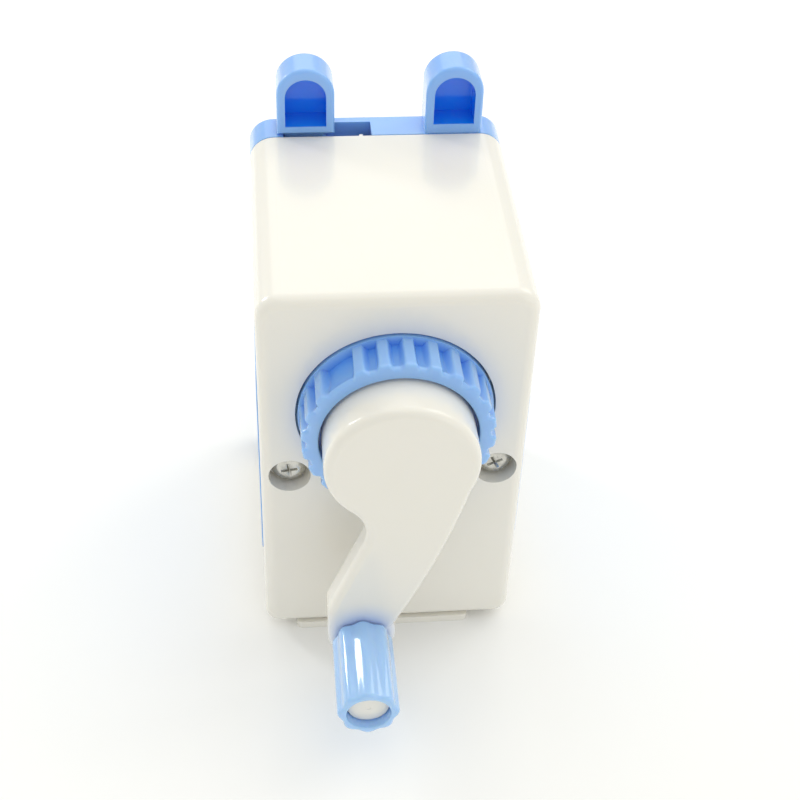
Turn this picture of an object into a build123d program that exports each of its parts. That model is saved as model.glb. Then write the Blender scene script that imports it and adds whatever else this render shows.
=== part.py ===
from build123d import *
from math import atan, cos, degrees, radians, sin, tan
import os

# Desk pencil sharpener with a hand crank at the back and a spring-fed pencil chuck at the front.
# Row frame: +Z up, -Y to the front (pencil side), +Y to the crank, origin under the middle of the base.
# All sizes are in millimetres.

# Body
BODY_W = 57.0
BODY_TOP = 97.8
FOOT_H = 1.9
REAR_Y = 33.75
SEAM_Y = -25.25
FRONT_Y = -33.65
WALL = 2.2
TOP_CORNER_R = 5.5
BOTTOM_CORNER_R = 3.5
REAR_EDGE_R = 2.6
GAP = 0.3                 # between pieces of different bodies
AXIS_Z = 68.0             # height of the pencil and crank axis
HALF_W = BODY_W / 2
INNER_HALF = HALF_W - WALL
INNER_REAR = REAR_Y - WALL
OVER = 1.0                # how far a cutting body reaches past the face it cuts
PIP = (3.2, 4.0)          # x of the locating pip on the top wall

# Foot plate and side panels
FOOT_W = 40.4
FOOT_X = 1.2              # the foot plate sits slightly off the middle
FOOT_CORNER_R = 1.5
FOOT_SCREWS = [(-15.0, -18.0), (17.5, -18.0), (-15.0, 26.0), (17.5, 26.0)]
FOOT_SEAT = 1.0           # depth of the screw heads' seats
FOOT_HEAD_R = 2.4
FOOT_SHANK_R = 1.2
FOOT_BOSS = (2.6, 2.2)    # radius and height
PANEL_Y = (-21.0, 30.75)
PANEL_Z = (21.0, 74.0)
PANEL_SUNK = 1.0
PANEL_PROUD = 0.25
PANEL_CORNER_R = 7.0
PEG_R = 1.2
PEG_BORE_R = 1.25

# Lock ring in the rear wall
WALL_HOLE_R = 20.9
RING_RIB_R = 20.0
RING_CORE_R = 18.3
RING_BORE_R = 16.5
RING_OUT = 8.86           # stands out of the rear face
RIB_COUNT = 24
RIB_W = 2.7
RIB_PHASE = 5.0           # angle of the first rib, from +X towards +Z
RIB_MISSING = 3           # the rib left out marks the ring's lock position
COLLAR_FRONT = 22.0
COLLAR_WALL = 2.0
LUG_ARC = 32.0
LUG_ANGLES = (30.0, 150.0, 270.0)
RING_LUG_Y = (25.6, 28.0)
WALL_LUG_Y = (28.3, 30.6)
FLANGE_FRONT = 30.9
RING_FLANGE_R = 20.4
RING_HUB_R = 18.6
WALL_LUG_R = 18.9         # inner radius of the wall's lugs
BORE_FLOOR = 37.4         # bottom of the ring's rear bore, where the crank's disc sits
GEAR_SEAT_R = 13.0

# Crank and knob
CRANK_R = 15.9
CRANK_OUT = 18.0          # front of the crank, from the rear face
ARM_T = 5.3
ARM_END_X = 7.5
ARM_END_Z = 17.2
ARM_END_R = 7.5
ARM_SWEEP = (-8.5, 41.7)  # a point on the arm's long curved side
ARM_ROOT = (4.2, 55.0)    # where the arm's straight side meets the disc
ELBOW_Z = 26.6
HUB_R = 10.42
BEARING_R = 10.5
HUB_FRONT = 29.3
HUB_STEP = 8.6            # from the hub's front to the crank disc's front
KNOB_R = 6.65
KNOB_LENGTH = 20.4
KNOB_FLUTES = 8
KNOB_RECESS = 2.4
FLUTE_R = 6.5
FLUTE_DEPTH = 0.4
PIN_R = 2.5
PIN_HEAD_R = 4.55
PIN_SUNK = 0.5            # the pin's head below the knob's end

# Cutter: its axis meets the crank axis at the apex, behind the pencil's tip
APEX_Y = 46.5
TILT = 11.0
CUTTER_R = 5.5
CUTTER_FROM = 24.6        # distances from the apex, along the cutter's axis
CUTTER_TO = 50.0
CUTTER_TEETH = 10
CUTTER_TWIST = 75.0
CUTTER_COLLAR_R = 3.6
AXLE_R = 1.5
AXLE_BORE_R = 1.58
AXLE_FROM = 13.6
AXLE_TO = 56.4
RING_TEETH = 24
PINION_TEETH = 14
PINION_FROM_TO = (19.4, 24.1)
RING_ADDENDUM = 0.72      # tooth heights in modules; the spare height is backlash
RING_DEDENDUM = 1.15
RING_FILL = 0.56          # share of the pitch circle taken by the gaps of the internal gear
PINION_ADDENDUM = 0.66
PINION_DEDENDUM = 1.0
PINION_FILL = 0.40
GEAR_FRONT = 24.0
GEAR_REAR = 28.5
PINION_CONE = degrees(atan(sin(radians(TILT)) / (RING_TEETH / PINION_TEETH - cos(radians(TILT)))))
RING_CONE = PINION_CONE + TILT
NOSE_R = 7.4
NOSE_BORE_R = 4.15        # takes an 8 mm pencil
NOSE_FRONT = -16.9
CAGE_R = 17.0
CAGE_FRONT_Y = (-9.2, -6.0)
CAGE_BACK_Y = (18.2, 21.2)
CHEEK_X = (7.2, 9.7)
CARRIER_SCREW_X = 3.2
CARRIER_SCREW_R = 1.05
CARRIER_SCREW_Z = AXIS_Z - 5.4

# Front plate, ears and chuck
FRONT_EDGE_R = 0.8
EAR_FLOOR = 1.9
EAR_TOP_WALL = 2.4
PLATE_BOTTOM = 34.2
PLATE_WALL = 2.5
PLATE_REAR = SEAM_Y - GAP
TRAY_Y = FRONT_Y + PLATE_WALL
PENCIL_HOLE_R = 4.6
MOUTH = 1.4               # the countersink round the pencil hole
ROD_BOSS_REAR = -23.5
CHUCK_SCREW_R = 1.1
CHUCK_BOSS_R = 6.5
SLOT_X = (1.2, 20.9)
EAR_W = 12.8
EAR_H = 16.0
EAR_LIFT = 0.4
EAR_WALL = 1.85
MOVING_EAR_X = 15.9
FIXED_EAR_X = -17.1
CAM_Y = (-30.85, -28.35)
CAM_R = 17.2
CAM_TURN = 16.0           # the lever's full squeeze, in degrees
JAW_Y = (-28.05, -24.55)
JAW_ANGLES = (90.0, 210.0, 330.0)
JAW_W = 7.0
JAW_TIP = 2.6
JAW_END = 15.8
JAW_TRAVEL = 2.5
JAW_PIN_AT = 11.0
JAW_PIN_R = 1.2
JAW_TEETH = 3
NECK = [(5.4, 88.5), (13.0, 84.5), (20.6, 92.6), (20.6, 98.9), (12.0, 98.9), (12.0, 95.6)]
COVER_Y = (-24.25, -21.75)
COVER_R = 19.5
POST_AT = 21.2
POST_R = 3.2
POST_ANGLES = (30.0, 150.0, 270.0)
SPRING_POST_X = (-14.0, -11.6)
SPRING_AXIS = (-28.35, 89.6)    # y and z of the grip spring
GRIP_SPRING_END = 4.9
GRIP_SPRING_R = 1.9
GRIP_WIRE_R = 0.3
GRIP_SPRING_TURNS = 8
LEVER_ANGLE = 61.5        # the lever arm's direction, from +X towards +Z

# Guide rods
ROD_X = 21.3
ROD_Z = 87.0
ROD_R = 2.0
ROD_REAR = 27.0
ROD_BORE_R = ROD_R + 0.08
ROD_BOSS_R = 4.2
CLIP_Y = 25.4
CLIP_T = 1.0
CLIP_R = 4.0
BULKHEAD_Y = (-17.5, -14.5)
BUSHING_Y = (-20.0, -13.5)
SPRING_R = 2.85
WIRE_R = 0.4
SPRING_TURNS = 11

# Housing screws
HOUSING_SCREW_X = 22.3
HOUSING_SCREW_Z = 50.4
SCREW_POCKET_R = 4.5
SCREW_SEAT = REAR_Y - 4.2
SCREW_PAD_R = 6.0
SCREW_PAD_FRONT = 27.0
SCREW_CLEAR_R = 1.7
SCREW_TURNS = {-1: 25, 1: 8}    # how far each driver cross has ended up turned
SCREW_SHANK_R = 1.5
POST_BAR_R = 4.0
POST_BAR_REAR = 26.9
POST_PILOT_R = 1.52
POST_PILOT_FROM = 15.0

# Drawer
DRAWER_TOP = 33.2
DRAWER_FLOOR = 6.6
DRAWER_HALF = 24.8
DRAWER_REAR = 28.0
DRAWER_WALL = 1.6
RAIL_Z = (33.6, 35.2)     # rails on the side walls that hold the drawer down
RAIL_Y = (-22.0, 24.0)
RAIL_DEEP = 2.2


def box(low, high):
    size = [b - a for a, b in zip(low, high)]
    middle = [(a + b) / 2 for a, b in zip(low, high)]
    return Pos(*middle) * Box(*size)


def cyl(radius, y_low, y_high, x=0.0, z=AXIS_Z):
    """A cylinder along Y."""
    return Pos(x, (y_low + y_high) / 2, z) * Rot(90, 0, 0) * Cylinder(radius, y_high - y_low)


def tube(outer, inner, y_low, y_high, x=0.0, z=AXIS_Z):
    return cyl(outer, y_low, y_high, x, z) - cyl(inner, y_low, y_high, x, z)


def section(y):
    """The plane at a station y, where local x is X and local y is Z."""
    return Plane(origin=(0, y, 0), x_dir=(1, 0, 0), z_dir=(0, -1, 0))


def prism(profile, y_low, y_high):
    return extrude(section(y_high) * profile, amount=y_high - y_low)


def axial(profile, y_low, y_high):
    """A prism whose profile is drawn about the pencil axis."""
    return prism(Pos(0, AXIS_Z) * profile, y_low, y_high)


def polar(radius, angle):
    """Point at a radius and angle (from +X towards +Z) about the pencil axis."""
    return radius * cos(radians(angle)), AXIS_Z + radius * sin(radians(angle))


def rounded(half_w, z_low, z_high, r_low, r_high):
    points = [(-half_w, z_low), (half_w, z_low), (half_w, z_high), (-half_w, z_high)]
    outline = FilletPolyline(*points, radius=[r_low, r_low, r_high, r_high], close=True)
    return make_face(outline)


def sector(radius, middle, arc):
    """A pie slice about the origin, for lugs."""
    reach = radius * 1.6
    ends = [middle - arc / 2, middle + arc / 2]
    points = [(0, 0)] + [(reach * cos(radians(a)), reach * sin(radians(a))) for a in ends]
    return make_face(Polyline(*points, close=True))


def lugs(outer, inner, y_low, y_high):
    ring = Circle(outer) - Circle(inner)
    pieces = [axial(ring & sector(outer, a, LUG_ARC), y_low, y_high) for a in LUG_ANGLES]
    return pieces[0] + pieces[1] + pieces[2]


def outer_edges(solid, y):
    """The edges of the face that lies at a station y and has the largest area."""
    faces = solid.faces().filter_by(Axis.Y).filter_by_position(Axis.Y, y - 0.01, y + 0.01)
    return faces.sort_by(SortBy.AREA)[-1].outer_wire().edges()


# ---------------------------------------------------------------- housing
def housing_shell():
    shell = prism(rounded(HALF_W, FOOT_H, BODY_TOP, BOTTOM_CORNER_R, TOP_CORNER_R), SEAM_Y, REAR_Y)
    shell = fillet(outer_edges(shell, REAR_Y), REAR_EDGE_R)
    cavity = rounded(INNER_HALF, FOOT_H + WALL, BODY_TOP - WALL, 1.3, TOP_CORNER_R - WALL)
    shell -= prism(cavity, SEAM_Y, INNER_REAR)
    shell += tube(WALL_HOLE_R + COLLAR_WALL, WALL_HOLE_R, COLLAR_FRONT, REAR_Y - OVER)
    for side in (-1, 1):
        shell += screw_pad(side)
    shell -= cyl(WALL_HOLE_R, COLLAR_FRONT - OVER, REAR_Y + OVER)
    shell += lugs(WALL_HOLE_R + 0.5, WALL_LUG_R, *WALL_LUG_Y)
    for side in (-1, 1):
        x = side * HOUSING_SCREW_X
        shell -= cyl(SCREW_POCKET_R, SCREW_SEAT, REAR_Y + OVER, x, HOUSING_SCREW_Z)
        shell -= cyl(SCREW_CLEAR_R, COLLAR_FRONT, REAR_Y, x, HOUSING_SCREW_Z)
        shell -= panel_blank(side, PANEL_SUNK, 0.0)
        for y, z in panel_pegs():
            shell -= Pos(side * HALF_W, y, z) * Rot(0, 90, 0) * Cylinder(PEG_BORE_R, 8)
        shell += drawer_rail(side)
    for x, y in FOOT_SCREWS:
        shell += Pos(x, y, FOOT_H + WALL + 1.0) * Cylinder(*FOOT_BOSS)
        shell -= Pos(x, y, FOOT_H + 2.0) * Cylinder(FOOT_SHANK_R + 0.02, 6)
    # small locating pip on the front edge of the top wall
    shell += box((PIP[0], SEAM_Y - 0.9, BODY_TOP - 1.4), (PIP[1], SEAM_Y + 0.4, BODY_TOP - 0.2))
    return shell


def screw_pad(side):
    """The thick round pad in the rear wall that a housing screw's pocket is sunk into."""
    pad = cyl(SCREW_PAD_R, SCREW_PAD_FRONT, REAR_Y - OVER, side * HOUSING_SCREW_X, HOUSING_SCREW_Z)
    return pad & box((OVER - HALF_W, COLLAR_FRONT, DRAWER_TOP), (HALF_W - OVER, REAR_Y, AXIS_Z))


def drawer_rail(side):
    low, high = sorted((side * (INNER_HALF - RAIL_DEEP), side * INNER_HALF))
    return box((low, RAIL_Y[0], RAIL_Z[0]), (high, RAIL_Y[1], RAIL_Z[1]))


def foot_plate():
    length = REAR_Y - SEAM_Y
    outline = Pos(FOOT_X, SEAM_Y + length / 2) * RectangleRounded(FOOT_W, length, FOOT_CORNER_R)
    plate = extrude(outline, amount=FOOT_H)
    for x, y in FOOT_SCREWS:
        plate -= Pos(x, y, FOOT_SEAT / 2) * Cylinder(FOOT_HEAD_R + GAP, FOOT_SEAT)
        plate -= Pos(x, y, FOOT_SEAT) * Cylinder(FOOT_SHANK_R + 0.2, 3)
    return plate


def pan_head(radius, height):
    """A domed head standing on z = 0 with a cross recess."""
    head = Cylinder(radius, height, align=(Align.CENTER, Align.CENTER, Align.MIN))
    head = fillet(head.edges().filter_by(GeomType.CIRCLE).sort_by(Axis.Z)[-1], height * 0.45)
    slot = Box(radius * 1.15, radius * 0.3, height, align=(Align.CENTER, Align.CENTER, Align.MIN))
    recess = slot + Rot(0, 0, 90) * slot
    return head - Pos(0, 0, height * 0.5) * recess


def screw(head_r, head_h, shank_r, length):
    """A screw along +Z: its head stands above z = 0, its shank hangs below."""
    shank = Cylinder(shank_r, length, align=(Align.CENTER, Align.CENTER, Align.MAX))
    shank = chamfer(shank.edges().sort_by(Axis.Z)[0], shank_r * 0.4)
    return pan_head(head_r, head_h) + shank


def foot_screws():
    driver = screw(FOOT_HEAD_R, 0.9, FOOT_SHANK_R, 4.0)
    return [Pos(x, y, FOOT_SEAT) * Rot(180, 0, 0) * driver for x, y in FOOT_SCREWS]


def housing_screws():
    driver = screw(3.85, 2.4, SCREW_SHANK_R, 10.5)
    screws = []
    for side, turn in SCREW_TURNS.items():
        place = Pos(side * HOUSING_SCREW_X, SCREW_SEAT, HOUSING_SCREW_Z) * Rot(-90, 0, 0)
        screws.append(place * Rot(0, 0, turn) * driver)
    return screws


def panel_pegs():
    return [(PANEL_Y[0] + 8, PANEL_Z[0] + 8), (PANEL_Y[1] - 8, PANEL_Z[1] - 10)]


def panel_blank(side, sunk, proud):
    """The panel's rounded outline on one side of the body, between two depths of the wall."""
    length = PANEL_Y[1] - PANEL_Y[0]
    height = PANEL_Z[1] - PANEL_Z[0]
    outline = RectangleRounded(length, height, PANEL_CORNER_R)
    middle = (side * (HALF_W - sunk), sum(PANEL_Y) / 2, sum(PANEL_Z) / 2)
    place = Plane(origin=middle, x_dir=(0, 1, 0), z_dir=(side, 0, 0))
    return extrude(place * outline, amount=sunk + proud)


def side_panel(side):
    panel = panel_blank(side, PANEL_SUNK, PANEL_PROUD)
    outside = panel.faces().sort_by(Axis.X)[-1 if side > 0 else 0]
    panel = fillet(outside.edges(), 0.2)
    for y, z in panel_pegs():
        panel += Pos(side * (HALF_W - PANEL_SUNK - 0.9), y, z) * Rot(0, 90, 0) * Cylinder(PEG_R, 2.0)
    return panel


def inner_frame():
    bulkhead = rounded(INNER_HALF - 0.4, 36.2, BODY_TOP - WALL - 0.4, 1.0, 3.0)
    frame = prism(bulkhead, *BULKHEAD_Y)
    frame += cyl(NOSE_R + WALL, BULKHEAD_Y[0], CAGE_FRONT_Y[0] - GAP)
    for side in (-1, 1):
        frame += cyl(ROD_BOSS_R, *BUSHING_Y, side * ROD_X, ROD_Z)
    frame -= cyl(NOSE_R + 0.08, BUSHING_Y[0], 0)
    for side in (-1, 1):
        frame -= cyl(ROD_BORE_R, BUSHING_Y[0] - OVER, 0, side * ROD_X, ROD_Z)
    return frame


def screw_posts():
    """Two posts that carry the rear screws, from the bulkhead to the rear wall."""
    reach = INNER_HALF - 0.2
    room = box((-reach, BULKHEAD_Y[0], DRAWER_TOP), (reach, REAR_Y, AXIS_Z))
    posts = []
    for side in (-1, 1):
        x = side * HOUSING_SCREW_X
        post = cyl(POST_BAR_R, BULKHEAD_Y[1], POST_BAR_REAR, x, HOUSING_SCREW_Z) & room
        posts.append(post - cyl(POST_PILOT_R, POST_PILOT_FROM, REAR_Y, x, HOUSING_SCREW_Z))
    return posts


# ---------------------------------------------------------------- drawer
def shavings_drawer():
    outline = rounded(HALF_W, FOOT_H + 0.2, PLATE_BOTTOM - GAP, BOTTOM_CORNER_R, 1.0)
    front = prism(outline, FRONT_Y, PLATE_REAR)
    front = fillet(outer_edges(front, FRONT_Y), FRONT_EDGE_R)
    front -= prism(rounded(HALF_W - WALL, 4.4, 31.6, 1.2, 1.0), TRAY_Y, PLATE_REAR)
    tray = box((-DRAWER_HALF, TRAY_Y, DRAWER_FLOOR), (DRAWER_HALF, DRAWER_REAR, DRAWER_TOP))
    tray = fillet(tray.edges().filter_by(Axis.Z), 1.5)
    inside = box((-DRAWER_HALF + DRAWER_WALL, TRAY_Y + DRAWER_WALL, DRAWER_FLOOR + DRAWER_WALL),
                 (DRAWER_HALF - DRAWER_WALL, DRAWER_REAR - DRAWER_WALL, DRAWER_TOP + OVER))
    drawer = front + tray - inside
    # finger scoop in the lower half of the front
    scoop = Pos(0, FRONT_Y - 6.0, 12.0) * Rot(0, 90, 0) * Cylinder(7.8, 22)
    drawer -= fillet(scoop.edges(), 1.5)
    return drawer


# ---------------------------------------------------------------- front plate and chuck
def arch(middle, bottom, width, height):
    """An arch standing on its flat bottom, in the X-Z plane."""
    r = width / 2
    straight = Pos(middle, bottom + (height - r) / 2) * Rectangle(width, height - r)
    return straight + Pos(middle, bottom + height - r) * Circle(r)


def ear(middle, bottom):
    height = BODY_TOP + EAR_LIFT + EAR_H - bottom
    shape = prism(arch(middle, bottom, EAR_W, height), FRONT_Y, PLATE_REAR)
    shape = fillet(outer_edges(shape, PLATE_REAR) + outer_edges(shape, FRONT_Y), FRONT_EDGE_R)
    floor = BODY_TOP + EAR_LIFT + EAR_FLOOR
    hollow = arch(middle, floor, EAR_W - 2 * EAR_WALL, EAR_H - EAR_FLOOR - EAR_TOP_WALL)
    return shape - prism(hollow, FRONT_Y + EAR_FLOOR, PLATE_REAR)


def front_plate():
    plate = prism(rounded(HALF_W, PLATE_BOTTOM, BODY_TOP, 1.0, TOP_CORNER_R), FRONT_Y, PLATE_REAR)
    plate = fillet(outer_edges(plate, FRONT_Y), FRONT_EDGE_R)
    cavity = rounded(INNER_HALF, PLATE_BOTTOM + WALL, BODY_TOP - WALL, 1.0, TOP_CORNER_R - WALL)
    plate -= prism(cavity, TRAY_Y, PLATE_REAR)
    plate += ear(FIXED_EAR_X, BODY_TOP - 0.6)
    plate += cyl(CHUCK_BOSS_R, TRAY_Y, CAM_Y[1])
    for angle in POST_ANGLES:
        x, z = polar(POST_AT, angle)
        plate += cyl(POST_R, TRAY_Y, COVER_Y[0], x, z)
        plate -= cyl(CHUCK_SCREW_R + 0.02, TRAY_Y + OVER, COVER_Y[0], x, z)
    for side in (-1, 1):
        plate += cyl(ROD_BOSS_R, TRAY_Y, ROD_BOSS_REAR, side * ROD_X, ROD_Z)
        plate -= cyl(ROD_R, TRAY_Y, ROD_BOSS_REAR + OVER, side * ROD_X, ROD_Z)
    plate += box((SPRING_POST_X[0], TRAY_Y, 86.8), (SPRING_POST_X[1], -25.9, 92.4))
    plate += Pos(SPRING_POST_X[1] + 0.7, *SPRING_AXIS) * Rot(0, 90, 0) * Cylinder(1.3, 1.6)
    plate -= box((SLOT_X[0], TRAY_Y, BODY_TOP - WALL - 0.1), (SLOT_X[1], PLATE_REAR, BODY_TOP + OVER))
    plate -= cyl(PENCIL_HOLE_R, FRONT_Y - OVER, CAM_Y[1] + OVER)
    mouth = Cone(PENCIL_HOLE_R, PENCIL_HOLE_R + MOUTH, MOUTH)
    plate -= Pos(0, FRONT_Y + MOUTH / 2, AXIS_Z) * Rot(90, 0, 0) * mouth
    return plate


def spiral_slot(start_angle):
    """Cam slot whose radius grows evenly as its angle falls, drawn about the origin."""
    steps = [-0.1 + 0.2 * i for i in range(7)]
    points = []
    for t in steps:
        radius = JAW_PIN_AT + JAW_TRAVEL * t
        angle = radians(start_angle - CAM_TURN * t)
        points.append((radius * cos(angle), radius * sin(angle)))
    half = JAW_PIN_R + GAP
    slot = trace(Spline(*points), 2 * half)
    return slot + Pos(*points[0]) * Circle(half) + Pos(*points[-1]) * Circle(half)


def grip_lever():
    ring = Circle(CAM_R) - Circle(CHUCK_BOSS_R + 0.08)
    ring += Rot(0, 0, LEVER_ANGLE) * Pos(18.5, 0) * Rectangle(10, 8.6)
    for angle in JAW_ANGLES:
        ring -= spiral_slot(angle)
    lever = axial(ring, *CAM_Y)
    lever += prism(make_face(Polyline(*NECK, close=True)), *CAM_Y)
    lever += box((12.0, CAM_Y[0], 93.4), (20.6, -27.0, 98.9))
    # seat for the grip spring on the arm's inner side
    lever += box((5.0, CAM_Y[0], 86.9), (7.4, -26.4, 91.6))
    return lever + ear(MOVING_EAR_X, BODY_TOP + EAR_LIFT)


def coil(radius, wire, start, direction, length, turns):
    """A compression spring from a start point along a direction."""
    pitch = (length - 2 * wire) / turns
    path = Helix(pitch, length - 2 * wire, radius)
    wire_section = Plane(path @ 0, z_dir=path % 0) * Circle(wire)
    spring = Pos(0, 0, wire) * sweep(wire_section, path=path)
    return Plane(start, z_dir=direction) * spring


def grip_spring():
    start = (SPRING_POST_X[1] + 0.1, *SPRING_AXIS)
    length = GRIP_SPRING_END - start[0]
    return coil(GRIP_SPRING_R, GRIP_WIRE_R, start, (1, 0, 0), length, GRIP_SPRING_TURNS)


def jaw(angle):
    tip = [(JAW_TIP, -1.5), (5.6, -JAW_W / 2), (JAW_END, -JAW_W / 2)]
    outline = tip + [(x, -y) for x, y in reversed(tip)]
    body = axial(Rot(0, 0, angle) * make_face(Polyline(*outline, close=True)), *JAW_Y)
    # gripping teeth across the tip
    for i in range(JAW_TEETH):
        x, z = polar(JAW_TIP, angle)
        y = JAW_Y[0] + 0.9 + 0.85 * i
        groove = Pos(x, y, z) * Rot(0, -angle, 0) * Rot(0, 0, 45) * Box(0.45, 0.45, 8)
        body -= groove
    pin_x, pin_z = polar(JAW_PIN_AT, angle)
    return body + cyl(JAW_PIN_R, CAM_Y[0] + 0.25, JAW_Y[0], pin_x, pin_z)


def chuck_cover():
    outline = Circle(COVER_R)
    for angle in POST_ANGLES:
        outline += Rot(0, 0, angle) * Pos(POST_AT, 0) * Circle(POST_R + 0.4)
        outline += Rot(0, 0, angle) * Pos(POST_AT - 3, 0) * Rectangle(6, 2 * POST_R + 0.8)
    cover = axial(outline - Circle(PENCIL_HOLE_R + 0.2), *COVER_Y)
    guides = Circle(16.0) - Circle(8.4)
    for angle in JAW_ANGLES:
        guides -= Rot(0, 0, angle) * Pos(12, 0) * Rectangle(24, JAW_W + 2 * GAP)
    cover += axial(guides, CAM_Y[1] + 0.6, COVER_Y[0])
    for angle in POST_ANGLES:
        x, z = polar(POST_AT, angle)
        cover -= cyl(CHUCK_SCREW_R + 0.2, COVER_Y[0] - OVER, COVER_Y[1] + OVER, x, z)
    return cover


def chuck_screws():
    driver = screw(2.1, 1.6, CHUCK_SCREW_R, 6.0)
    places = [polar(POST_AT, angle) for angle in POST_ANGLES]
    return [Pos(x, COVER_Y[1], z) * Rot(-90, 0, 0) * driver for x, z in places]


def guide_rod(side):
    rod = cyl(ROD_R, TRAY_Y, ROD_REAR, side * ROD_X, ROD_Z)
    return chamfer(rod.edges().sort_by(Axis.Y)[-1], 0.5)


def rod_clips():
    return [tube(CLIP_R, ROD_R, CLIP_Y, CLIP_Y + CLIP_T, side * ROD_X, ROD_Z) for side in (-1, 1)]


def rod_spring(side):
    start = (side * ROD_X, BUSHING_Y[1], ROD_Z)
    return coil(SPRING_R, WIRE_R, start, (0, 1, 0), CLIP_Y - BUSHING_Y[1], SPRING_TURNS)


# ---------------------------------------------------------------- gears
def gear_outline(teeth, root_r, tip_r, phase, fill):
    """A toothed outline with straight flanks. Teeth fill this share of the pitch circle."""
    step = 360 / teeth
    slope = step * 0.16
    half = step * fill / 2
    tooth = [(root_r, -half - slope), (tip_r, -half + slope), (tip_r, half - slope), (root_r, half + slope)]
    points = []
    for i in range(teeth):
        for radius, turn in tooth:
            angle = radians(phase + i * step + turn)
            points.append((radius * cos(angle), radius * sin(angle)))
    return Polyline(*points, close=True)


def ring_gear():
    """Internal gear on a cone: the hole's outline shrinks towards the apex."""
    front = (APEX_Y - GEAR_FRONT) * tan(radians(RING_CONE))
    module = 2 * front / RING_TEETH
    root = front - RING_ADDENDUM * module
    tip = front + RING_DEDENDUM * module
    hole = make_face(gear_outline(RING_TEETH, root, tip, 90, RING_FILL))
    scale = (APEX_Y - GEAR_REAR) / (APEX_Y - GEAR_FRONT)
    front_face = section(GEAR_FRONT) * Pos(0, AXIS_Z) * hole
    rear_face = section(GEAR_REAR) * Pos(0, AXIS_Z) * hole.scale(scale)
    return cyl(GEAR_SEAT_R, GEAR_FRONT, GEAR_REAR) - loft([front_face, rear_face], ruled=True)


def along_cutter(distance):
    """A plane square to the cutter's axis, its normal pointing away from the apex."""
    direction = (0, -cos(radians(TILT)), sin(radians(TILT)))
    origin = (0, APEX_Y + distance * direction[1], AXIS_Z + distance * direction[2])
    return Plane(origin=origin, x_dir=(1, 0, 0), z_dir=direction)


def cutter_bar(radius, start, end):
    """A cylinder on the cutter's axis between two distances from the apex."""
    return extrude(along_cutter(start) * Circle(radius), amount=end - start)


def cutter_pinion():
    small, large = PINION_FROM_TO
    pitch = large * tan(radians(PINION_CONE))
    module = 2 * pitch / PINION_TEETH
    root = pitch - PINION_DEDENDUM * module
    tip = pitch + PINION_ADDENDUM * module
    outline = make_face(gear_outline(PINION_TEETH, root, tip, 90, PINION_FILL))
    front_face = along_cutter(large) * outline
    rear_face = along_cutter(small) * outline.scale(small / large)
    return loft([rear_face, front_face], ruled=True) - cutter_bar(AXLE_BORE_R, small - OVER, large + OVER)


def helical_cutter():
    step = 360 / CUTTER_TEETH
    # how deep each point of a tooth lies, and its share of the tooth's pitch
    tooth = [(0.0, 0.0), (0.25, 0.16), (1.1, 0.55), (1.0, 0.9)]
    points = []
    for i in range(CUTTER_TEETH):
        for depth, turn in tooth:
            radius = CUTTER_R - depth
            angle = radians((i + turn) * step)
            points.append((radius * cos(angle), radius * sin(angle)))
    outline = make_face(Polyline(*points, close=True))
    length = CUTTER_TO - CUTTER_FROM
    blades = Solid.extrude_linear_with_rotation(outline.face(), (0, 0, 0), (0, 0, length), CUTTER_TWIST)
    blades = along_cutter(CUTTER_FROM) * blades
    collar = cutter_bar(CUTTER_COLLAR_R, PINION_FROM_TO[1], CUTTER_FROM)
    return blades + collar - cutter_bar(AXLE_BORE_R, CUTTER_FROM - 2, CUTTER_TO + OVER)


def cutter_axle():
    return cutter_bar(AXLE_R, AXLE_FROM, AXLE_TO)


# ---------------------------------------------------------------- crank side
def lock_ring():
    inside = cyl(RING_HUB_R, GEAR_FRONT, FLANGE_FRONT + 0.1)
    ring = inside + lugs(RING_FLANGE_R, 18.0, *RING_LUG_Y) + cyl(RING_FLANGE_R, FLANGE_FRONT, REAR_Y + 0.4)
    grip = cyl(RING_CORE_R, REAR_Y, REAR_Y + RING_OUT)
    grip = fillet(grip.edges().sort_by(Axis.Y)[-1], 0.5)
    ring += grip
    for i in range(RIB_COUNT):
        if i != RIB_MISSING:
            ring += ring_rib(RIB_PHASE + i * 360 / RIB_COUNT)
    ring -= cyl(RING_BORE_R, BORE_FLOOR, REAR_Y + RING_OUT + OVER)
    ring -= cyl(BEARING_R, GEAR_FRONT - OVER, BORE_FLOOR + OVER)
    ring -= cyl(GEAR_SEAT_R, GEAR_FRONT - OVER, GEAR_REAR)
    return ring


def ring_rib(angle):
    """A grip rib along the ring, its outer end rounded down to the ring's face."""
    rear = REAR_Y + RING_OUT - 0.9
    bar = box((RING_CORE_R - 1.5, REAR_Y + 0.3, -RIB_W / 2), (RING_RIB_R, rear, RIB_W / 2))
    top = bar.edges().filter_by(Axis.Z).sort_by(lambda e: e.center().X + e.center().Y)[-1]
    bar = fillet(top, 1.4)
    sides = bar.edges().filter_by(Axis.Y).group_by(Axis.X)[-1]
    bar = fillet(sides, 0.5)
    return Pos(0, 0, AXIS_Z) * Rot(0, -angle, 0) * bar


def crank_outline():
    """Comma shape: a disc at the hub, an arm that sweeps down and a round end for the knob."""
    disc = Pos(0, AXIS_Z) * Circle(CRANK_R)
    end = Pos(ARM_END_X, ARM_END_Z) * Circle(ARM_END_R)
    start = polar(CRANK_R, 207)
    finish = (ARM_END_X + ARM_END_R * cos(radians(157)), ARM_END_Z + ARM_END_R * sin(radians(157)))
    side = ARM_END_X + ARM_END_R
    elbow_at = (side, ELBOW_Z)
    outer = ThreePointArc(start, ARM_SWEEP, finish)
    inner = Polyline(finish, (ARM_END_X, ARM_END_Z - 1), (side, ARM_END_Z), elbow_at, ARM_ROOT, start)
    outline = disc + end + make_face(outer + inner)
    outline = fillet(outline.vertices().sort_by_distance(elbow_at)[0], 5.0)
    neck = outline.vertices().sort_by_distance((5.0, 52.9))[0]
    return fillet(neck, 9.0)


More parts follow.
